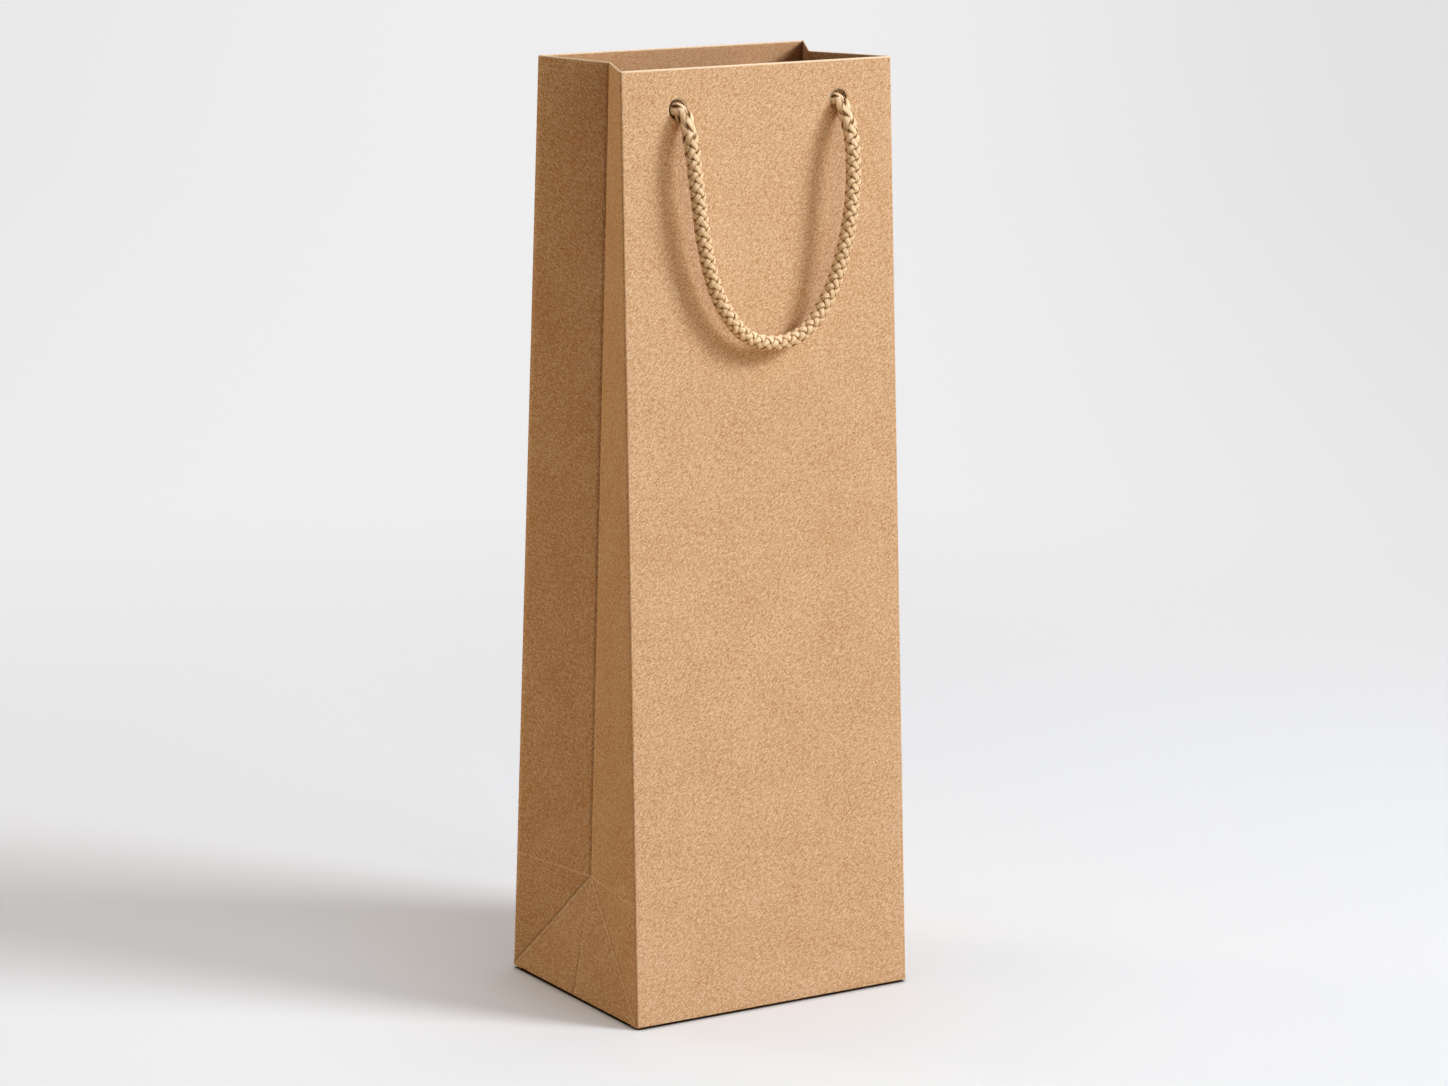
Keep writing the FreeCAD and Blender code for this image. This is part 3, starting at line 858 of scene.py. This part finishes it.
class BAG_OT_bottom(bpy.types.Operator):
    """Make the folded bottom and the board on it, and finish the card and the seam flap"""

    bl_idname = "bag.bottom"
    bl_label = "Bottom and card"

    def flap(self, form, node, layer):
        """A flap of the bottom, bowed with it, over the plan of its solid."""
        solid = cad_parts[node].data
        corners = sorted({(round(v.co.x, 6), round(v.co.y, 6)) for v in solid.vertices})
        axis = 1 if node in ("bottom_front_flap", "bottom_rear_flap") else 0
        limits = [pick(p[axis] for p in corners) for pick in (min, max)]
        ends = [[p for p in corners if abs(p[axis] - limit) < 1e-5] for limit in limits]
        (a, b), (c, d) = ([Vector((*min(e), 0)), Vector((*max(e), 0))] for e in ends)
        bm = bmesh.new()

        def place(column, row, vertex):
            share = column / FLAP_CELLS
            point = a.lerp(b, share).lerp(c.lerp(d, share), row / FLAP_CELLS)
            point.z = layer * form.sizes.paper + form.bottom_rise(point.x, point.y, 0.9)
            return form.spread_foot(point)

        grid(bm, FLAP_CELLS, FLAP_CELLS, place)
        face_outwards(bm, Vector((0.0, 0.0, -1.0)))
        return bm

    def bevel(self, bm, edges, offset, segments):
        bmesh.ops.bevel(bm, geom=edges, offset=offset, offset_type="OFFSET", segments=segments,
                        profile=0.5, affect="EDGES", material=-1)

    def base_board(self, form):
        """The loose board, with rounded corners, lying on the bowed bottom."""
        sizes = form.sizes
        low = BOARD_LAYER * sizes.paper
        gap = 2 * sizes.board_margin
        bm = bmesh.new()
        bmesh.ops.create_cube(bm, size=1.0)
        scale = (sizes.width - gap, sizes.base_depth - gap, sizes.board)
        bmesh.ops.scale(bm, vec=scale, verts=bm.verts)
        bmesh.ops.translate(bm, vec=(0.0, 0.0, low + sizes.board / 2), verts=bm.verts)

        def rise(edge):
            return abs(edge.verts[0].co.z - edge.verts[1].co.z)

        uprights = [e for e in bm.edges if rise(e) > sizes.board / 2]
        self.bevel(bm, uprights, sizes.board_corner, 6)
        level = [e for e in bm.edges if rise(e) < TINY and len(e.link_faces) == 2]
        rims = [e for e in level if abs(e.link_faces[0].normal.z - e.link_faces[1].normal.z) > 0.5]
        self.bevel(bm, rims, BOARD_EASE, 2)
        for axis in (Vector((1, 0, 0)), Vector((0, 1, 0))):
            for cut in spread(-BOARD_CUTS, BOARD_CUTS, 11)[:-1]:
                bmesh.ops.bisect_plane(bm, geom=bm.verts[:] + bm.edges[:] + bm.faces[:],
                                       plane_co=axis * cut, plane_no=axis)
        for vertex in bm.verts:
            vertex.co.z += form.bottom_rise(vertex.co.x, vertex.co.y, 0.45)
            form.spread_foot(vertex.co)
        return bm

    def execute(self, context):
        sizes, colours, form = settings(context)
        paper = kraft_paper("kraft_bottom", colours, *WIDE_TONE)
        papers = [paper, cut_paper("kraft_bottom_edge", colours)]
        for node, layer in FLAPS:
            flap = paper_piece(node + "_sheet", self.flap(form, node, layer), papers, sizes.paper)
            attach(flap, "root")
            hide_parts(node)
        board_finish = grey_board("base_board", colours.board, colours)
        board = new_piece("base_board_sheet", self.base_board(form), [board_finish])
        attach(board, "root")
        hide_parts("base_board")
        card = grey_board("hem_card", colours.card, colours)
        solids = {"front_top_card": card, "back_top_card": card, "side_seam_flap": paper}
        for node, finish in solids.items():
            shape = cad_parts[node].data
            shape.materials.clear()
            shape.materials.append(finish)
        return {"FINISHED"}


# Ropes


def spline_points(name, route):
    """Points along the smooth spline that has the route's points as its control points."""
    curve = bpy.data.curves.new(name, "CURVE")
    curve.dimensions = "3D"
    curve.resolution_u = 32
    spline = curve.splines.new("NURBS")
    spline.points.add(len(route) - 1)
    for point, place in zip(spline.points, route):
        point.co = (*place, 1.0)
    spline.order_u = 3
    spline.use_endpoint_u = True
    holder = bpy.data.objects.new(name, curve)
    line = bpy.data.meshes.new_from_object(holder)
    points = [vertex.co.copy() for vertex in line.vertices]
    bpy.data.objects.remove(holder)
    bpy.data.curves.remove(curve)
    bpy.data.meshes.remove(line)
    return points


def evenly(points, step):
    """The points of a line, set at even distances along it."""
    runs = [0.0]
    for before, after in zip(points, points[1:]):
        runs.append(runs[-1] + (after - before).length)
    count = round(runs[-1] / step)
    found, i = [], 0
    for k in range(count + 1):
        want = runs[-1] * k / count
        while i < len(runs) - 2 and runs[i + 1] < want:
            i += 1
        span = runs[i + 1] - runs[i]
        found.append(points[i].lerp(points[i + 1], (want - runs[i]) / span if span else 0.0))
    return found, runs[-1]


def frames_along(points):
    """Two directions across a line at each of its points, carried along without twist."""
    neighbours = zip(points[:1] + points[:-1], points[1:] + points[-1:])
    ways = [(after - before).normalized() for before, after in neighbours]
    first = ways[0].orthogonal().normalized()
    frames = []
    for way in ways:
        first = (first - way * first.dot(way)).normalized()
        frames.append((first, way.cross(first)))
    return frames


STRANDS = 8
STRAND_SIDES = 10
# In parts of the rope's thickness: a strand's distance from the middle, how far it weaves
# in and out, half its height, and half its share of the girth
STRAND_MIDDLE, STRAND_WEAVE, STRAND_HEIGHT, STRAND_SHARE = 0.310, 0.075, 0.130, 0.2565
# How much longer the lay is where a rope is pulled tight, and the length over which that eases off
LAY_STRETCH, LAY_EASE = 1.6, 0.022
# Steps along ropes and knots, and the length of a rope's end that is pulled through its hole
ROPE_STEP, KNOT_STEP, ROPE_END = 0.0007, 0.0008, 0.016
# A handle's rope would bend from its hole to this far out from its pivots, and this far below them;
# the bend points are worked out but not used
BEND_OUT, BEND_DOWN = 0.0075, 0.017
# A knot: points along it, its turns, thickness, length, and first distance behind the hem
KNOT_POINTS, KNOT_WRAPS, KNOT_ROPE, KNOT_LENGTH, KNOT_SEAT = 90, 2.15, 0.0044, 0.0078, 0.0022
# Radius of a knot's ends, how much wider its turns are, and the share of it in which they widen
KNOT_CORE, KNOT_SWELL, KNOT_TUCK = 0.0016, 0.0028, 0.12


def braid(bm, points, thickness, turns):
    """Eight strands that pass over and under each other round a line of points."""
    layers = bm.verts.layers.float_vector
    layer = layers.get("strand") or layers.new("strand")
    frames = frames_along(points)
    middle, weave = STRAND_MIDDLE * thickness, STRAND_WEAVE * thickness
    half_height = STRAND_HEIGHT * thickness
    last = len(points) - 1
    step = (points[1] - points[0]).length
    # A strand keeps its share of the girth, so it lies wider where the lay is longer
    pairs = zip(turns, turns[1:])
    slants = [math.atan(middle * (after - before) / step) for before, after in pairs]
    half_widths = [STRAND_SHARE * thickness * math.cos(slant) for slant in slants + slants[-1:]]
    for strand in range(STRANDS):
        way = 1 if strand % 2 else -1
        begin = 2 * math.pi * (strand // 2) / (STRANDS / 2)
        spots = []
        for i, (point, (one, two)) in enumerate(zip(points, frames)):
            angle = way * turns[i] + begin
            loose = 1 + 0.05 * noise.noise(Vector((i * 0.03, strand * 9.7, 0.0)))
            radius = (middle + way * weave * math.cos(4 * turns[i])) * loose
            out = one * math.cos(angle) + two * math.sin(angle)
            spots.append((point + out * radius, out))

        def place(column, row, vertex):
            spot, out = spots[column]
            before, after = spots[max(0, column - 1)][0], spots[min(last, column + 1)][0]
            along = (after - before).normalized()
            aside = along.cross(out).normalized()
            raised = aside.cross(along)
            turn = 2 * math.pi * row / STRAND_SIDES - math.pi / 2
            close = min(1.0, math.sqrt(max(0.0, min(column, last - column) / 3)))
            vertex[layer] = Vector((column * step, row / STRAND_SIDES, strand))
            size = close * (1 + 0.06 * noise.noise(Vector((column * 0.11, strand * 3.1, 4.0))))
            aside *= half_widths[column] * math.cos(turn)
            return spot + (aside + raised * (half_height * math.sin(turn))) * size

        grid(bm, last, STRAND_SIDES, place)
    bmesh.ops.remove_doubles(bm, verts=bm.verts, dist=0.000002)
    bmesh.ops.recalc_face_normals(bm, faces=bm.faces)


def rope_route(form, end):
    """The route of a rope in the bag's frame, from one knot's tail to the other's."""
    sizes = form.sizes
    wall = form.wall(end)
    hole = sizes.hole_spacing / 2
    pivot = wall @ Vector((0.0, -sizes.pivot_reach, form.hole_up))
    inside = [(-hole + x, depth, form.hole_up - below) for x, depth, below in ROPE_IN]
    outside = [(hole + x, depth, form.hole_up - below) for x, depth, below in reversed(ROPE_IN)]
    turned = 1 if end == FRONT else -1
    loop = [Vector((turned * x, pivot.y - turned * out, pivot.z - below))
            for x, out, below in ROPE_LOOP]
    route = [wall @ Vector(p) for p in inside] + loop + [wall @ Vector(p) for p in outside]
    return [form.spread_foot(point) for point in route]


def braid_turns(points, lead, ends):
    """The angle of a strand at each point, with a longer lay where the rope is pulled tight."""
    step = (points[1] - points[0]).length
    total, turns = 0.0, []
    for i in range(len(points)):
        near = min(i, len(points) - 1 - i) * step
        tight = 1 - fade(near, ends, ends + LAY_EASE)
        turns.append(total)
        total += 2 * math.pi * step / (lead * (1 + LAY_STRETCH * tight))
    return turns


class BAG_OT_ropes(bpy.types.Operator):
    """Make the two braided ropes with their stopper knots"""

    bl_idname = "bag.ropes"
    bl_label = "Ropes"

    def knot(self, form, end, x):
        """Two turns of the rope round itself, drawn tight inside the hem."""
        sizes = form.sizes
        wall = form.wall(end)
        axis_points = []
        seat = sizes.hem_thickness + KNOT_SEAT
        for i in range(KNOT_POINTS + 1):
            share = i / KNOT_POINTS
            tucked = fade(share, 0.0, KNOT_TUCK) * fade(1 - share, 0.0, KNOT_TUCK)
            radius = KNOT_CORE + KNOT_SWELL * tucked
            angle = 2 * math.pi * KNOT_WRAPS * share
            across, high = radius * math.cos(angle), radius * math.sin(angle)
            place = Vector((x + across, seat + KNOT_LENGTH * share, form.hole_up + high))
            axis_points.append(wall @ place)
        points, _ = evenly(axis_points, KNOT_STEP)
        bm = bmesh.new()
        braid(bm, points, KNOT_ROPE, braid_turns(points, sizes.braid_lead * 0.7, 0.0))
        return bm

    def execute(self, context):
        sizes, colours, form = settings(context)
        cotton = braided_cotton("rope", colours)
        for end, name in WALL_NAMES.items():
            for side_name, side in SIDES.items():
                x = side * sizes.hole_spacing / 2
                bm = self.knot(form, end, x)
                knot = new_piece(f"{name}_{side_name}_knot", bm, [cotton])
                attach(knot, WALLS[end])
                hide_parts(f"{name}_{side_name}_rope_end")
            route = spline_points(name + "_route", rope_route(form, end))
            points, length = evenly(route, ROPE_STEP)
            bm = bmesh.new()
            braid(bm, points, sizes.rope, braid_turns(points, sizes.braid_lead, ROPE_END))
            rope = new_piece(name + "_rope", bm, [cotton])
            pivot = form.wall(end) @ Vector((0.0, -sizes.pivot_reach, form.hole_up))
            # At a half turn both ways round are alike: this order would bend each rope away from
            # the bag; the bend points are worked out but not used
            bend = [(WALLS[end], (0.0, pivot.y - end * sizes.pivot_reach, pivot.z)),
                    (HANDLES[end], (0.0, pivot.y + end * BEND_OUT, pivot.z - BEND_DOWN))]
            (body, start), (other, stop) = bend if end == REAR else reversed(bend)
            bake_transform(rope)
            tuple(start)
            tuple(stop)
            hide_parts(name + "_handle_loop")
            hole = form.wall(end) @ Vector((-sizes.hole_spacing / 2, 0.0, form.hole_up))
        return {"FINISHED"}


# Studio

CAMERA_PLACE = Vector((-0.91177, -1.46354, 0.53635))
CAMERA_TARGET = Vector((0.00558, 0.0, 0.17223))
CAMERA_ROLL = math.radians(0.404)
CAMERA_SENSOR = 36.0
# Focal length in pixels of the 1448 pixel wide picture
CAMERA_LENS = 4582.47 * CAMERA_SENSOR / 1448.0
# The sweep: radius of its curve, where that begins, its front end, half its width, its height
SWEEP_RADIUS, SWEEP_BACK, SWEEP_FRONT, SWEEP_SIDE, SWEEP_HEIGHT = 1.5, 2.2, -14.0, 12.0, 4.0
SWEEP_HEADING = math.radians(-32.0)
WHITE = (1.0, 1.0, 1.0)
# Lamps: name, degrees to the right of the front, degrees up, distance, size, watts, colour
LAMPS = (
    ("key", 42, 34, 3.6, 1.3, 95.0, WHITE),
    ("key_left", 12, 30, 3.6, 1.55, 18.0, WHITE),
    ("top", 180, 86, 3.6, 2.6, 66.0, WHITE),
    ("low_front", -12, 9, 2.3, 1.0, 8.7, (1.0, 0.80, 0.46)),
    ("left_rear", -141, 3, 2.0, 0.5, 13.4, (1.0, 0.74, 0.40)),
)
# The lamps are aimed at the middle of the bag
LAMP_TARGET = Vector((0.0, 0.0, 0.18))
SKY_COLOUR, SKY_STRENGTH = (1.0, 0.99, 0.98, 1.0), 0.01


class BAG_OT_studio(bpy.types.Operator):
    """Make the floor and backdrop, the lights and the camera"""

    bl_idname = "bag.studio"
    bl_label = "Studio"

    def sweep(self, colours):
        """A floor that curves up into the backdrop."""
        radius, back = SWEEP_RADIUS, SWEEP_BACK
        profile = [(SWEEP_FRONT, 0.0)] + [(y, 0.0) for y in spread(SWEEP_FRONT, back, 12)]
        profile += [(back + radius * math.sin(t), radius - radius * math.cos(t))
                    for t in spread(0.0, math.pi / 2, 24)]
        profile += [(back + radius, z) for z in spread(radius, SWEEP_HEIGHT, 4)]
        heading = Matrix.Rotation(SWEEP_HEADING, 4, "Z")
        bm = bmesh.new()

        def place(column, row, vertex):
            y, z = profile[row]
            return heading @ Vector((SWEEP_SIDE * (column / 6 - 1), y, z))

        grid(bm, 12, len(profile) - 1, place)
        face_outwards(bm, Vector((0.0, 0.0, 1.0)))
        new_object("studio_sweep", bm, [studio_white("studio_white", colours)])

    def light(self, name, turn, rise, distance, size, power, colour):
        """A round lamp, turned from the front towards the right and raised, both in degrees."""
        turn, rise = math.radians(turn), math.radians(rise)
        level = math.cos(rise)
        way = Vector((math.sin(turn) * level, -math.cos(turn) * level, math.sin(rise)))
        lamp = bpy.data.lights.new(name, "AREA")
        lamp.shape = "DISK"
        lamp.size = size
        lamp.energy = power
        lamp.color = colour
        holder = put(name, lamp)
        holder.location = LAMP_TARGET + way * distance
        holder.rotation_euler = (-way).to_track_quat("-Z", "Y").to_euler()

    def camera(self, context):
        """A camera where the photograph was taken from."""
        lens = bpy.data.cameras.new("camera")
        lens.lens = CAMERA_LENS
        lens.sensor_width = CAMERA_SENSOR
        lens.clip_end = 50.0
        holder = put("camera", lens)
        forward = (CAMERA_TARGET - CAMERA_PLACE).normalized()
        right = forward.cross(Vector((0.0, 0.0, 1.0))).normalized()
        up = right.cross(forward)
        image_right = right * math.cos(CAMERA_ROLL) + up * math.sin(CAMERA_ROLL)
        image_up = up * math.cos(CAMERA_ROLL) - right * math.sin(CAMERA_ROLL)
        turn = Matrix((image_right, image_up, -forward)).transposed()
        holder.matrix_world = Matrix.Translation(CAMERA_PLACE) @ turn.to_4x4()
        context.scene.camera = holder

    def execute(self, context):
        scene = context.scene
        self.sweep(scene.bag_colours)
        for lamp in LAMPS:
            self.light(*lamp)
        world = bpy.data.worlds.new("studio")
        world.use_nodes = True
        sky = world.node_tree.nodes["Background"]
        sky.inputs["Color"].default_value = SKY_COLOUR
        sky.inputs["Strength"].default_value = SKY_STRENGTH
        scene.world = world
        scene.view_settings.view_transform = "Standard"
        self.camera(context)
        return {"FINISHED"}


class BAG_PT_sidebar(bpy.types.Panel):
    """Makes the pieces of the bag and shows its sizes and colours"""

    bl_idname = "BAG_PT_sidebar"
    bl_label = "Bottle bag"
    bl_space_type = "VIEW_3D"
    bl_region_type = "UI"
    bl_category = "Bottle bag"

    def draw(self, context):
        for operator in OPERATORS:
            self.layout.operator(operator.bl_idname)
        for group in (context.scene.bag_sizes, context.scene.bag_colours):
            column = self.layout.column()
            for key in group.__annotations__:
                column.prop(group, key)


OPERATORS = (BAG_OT_wide_sheets, BAG_OT_gussets, BAG_OT_bottom, BAG_OT_ropes, BAG_OT_studio)
CLASSES = (BagSizes, BagColours, *OPERATORS, BAG_PT_sidebar)


def register():
    for cls in CLASSES:
        bpy.utils.register_class(cls)
    bpy.types.Scene.bag_sizes = bpy.props.PointerProperty(type=BagSizes)
    bpy.types.Scene.bag_colours = bpy.props.PointerProperty(type=BagColours)


def unregister():
    del bpy.types.Scene.bag_colours
    del bpy.types.Scene.bag_sizes
    for cls in reversed(CLASSES):
        bpy.utils.unregister_class(cls)


def main():
    register()
    bpy.ops.bag.wide_sheets()
    bpy.ops.bag.gussets()
    bpy.ops.bag.bottom()
    bpy.ops.bag.ropes()
    bpy.ops.bag.studio()


if __name__ == "__main__":
    main()
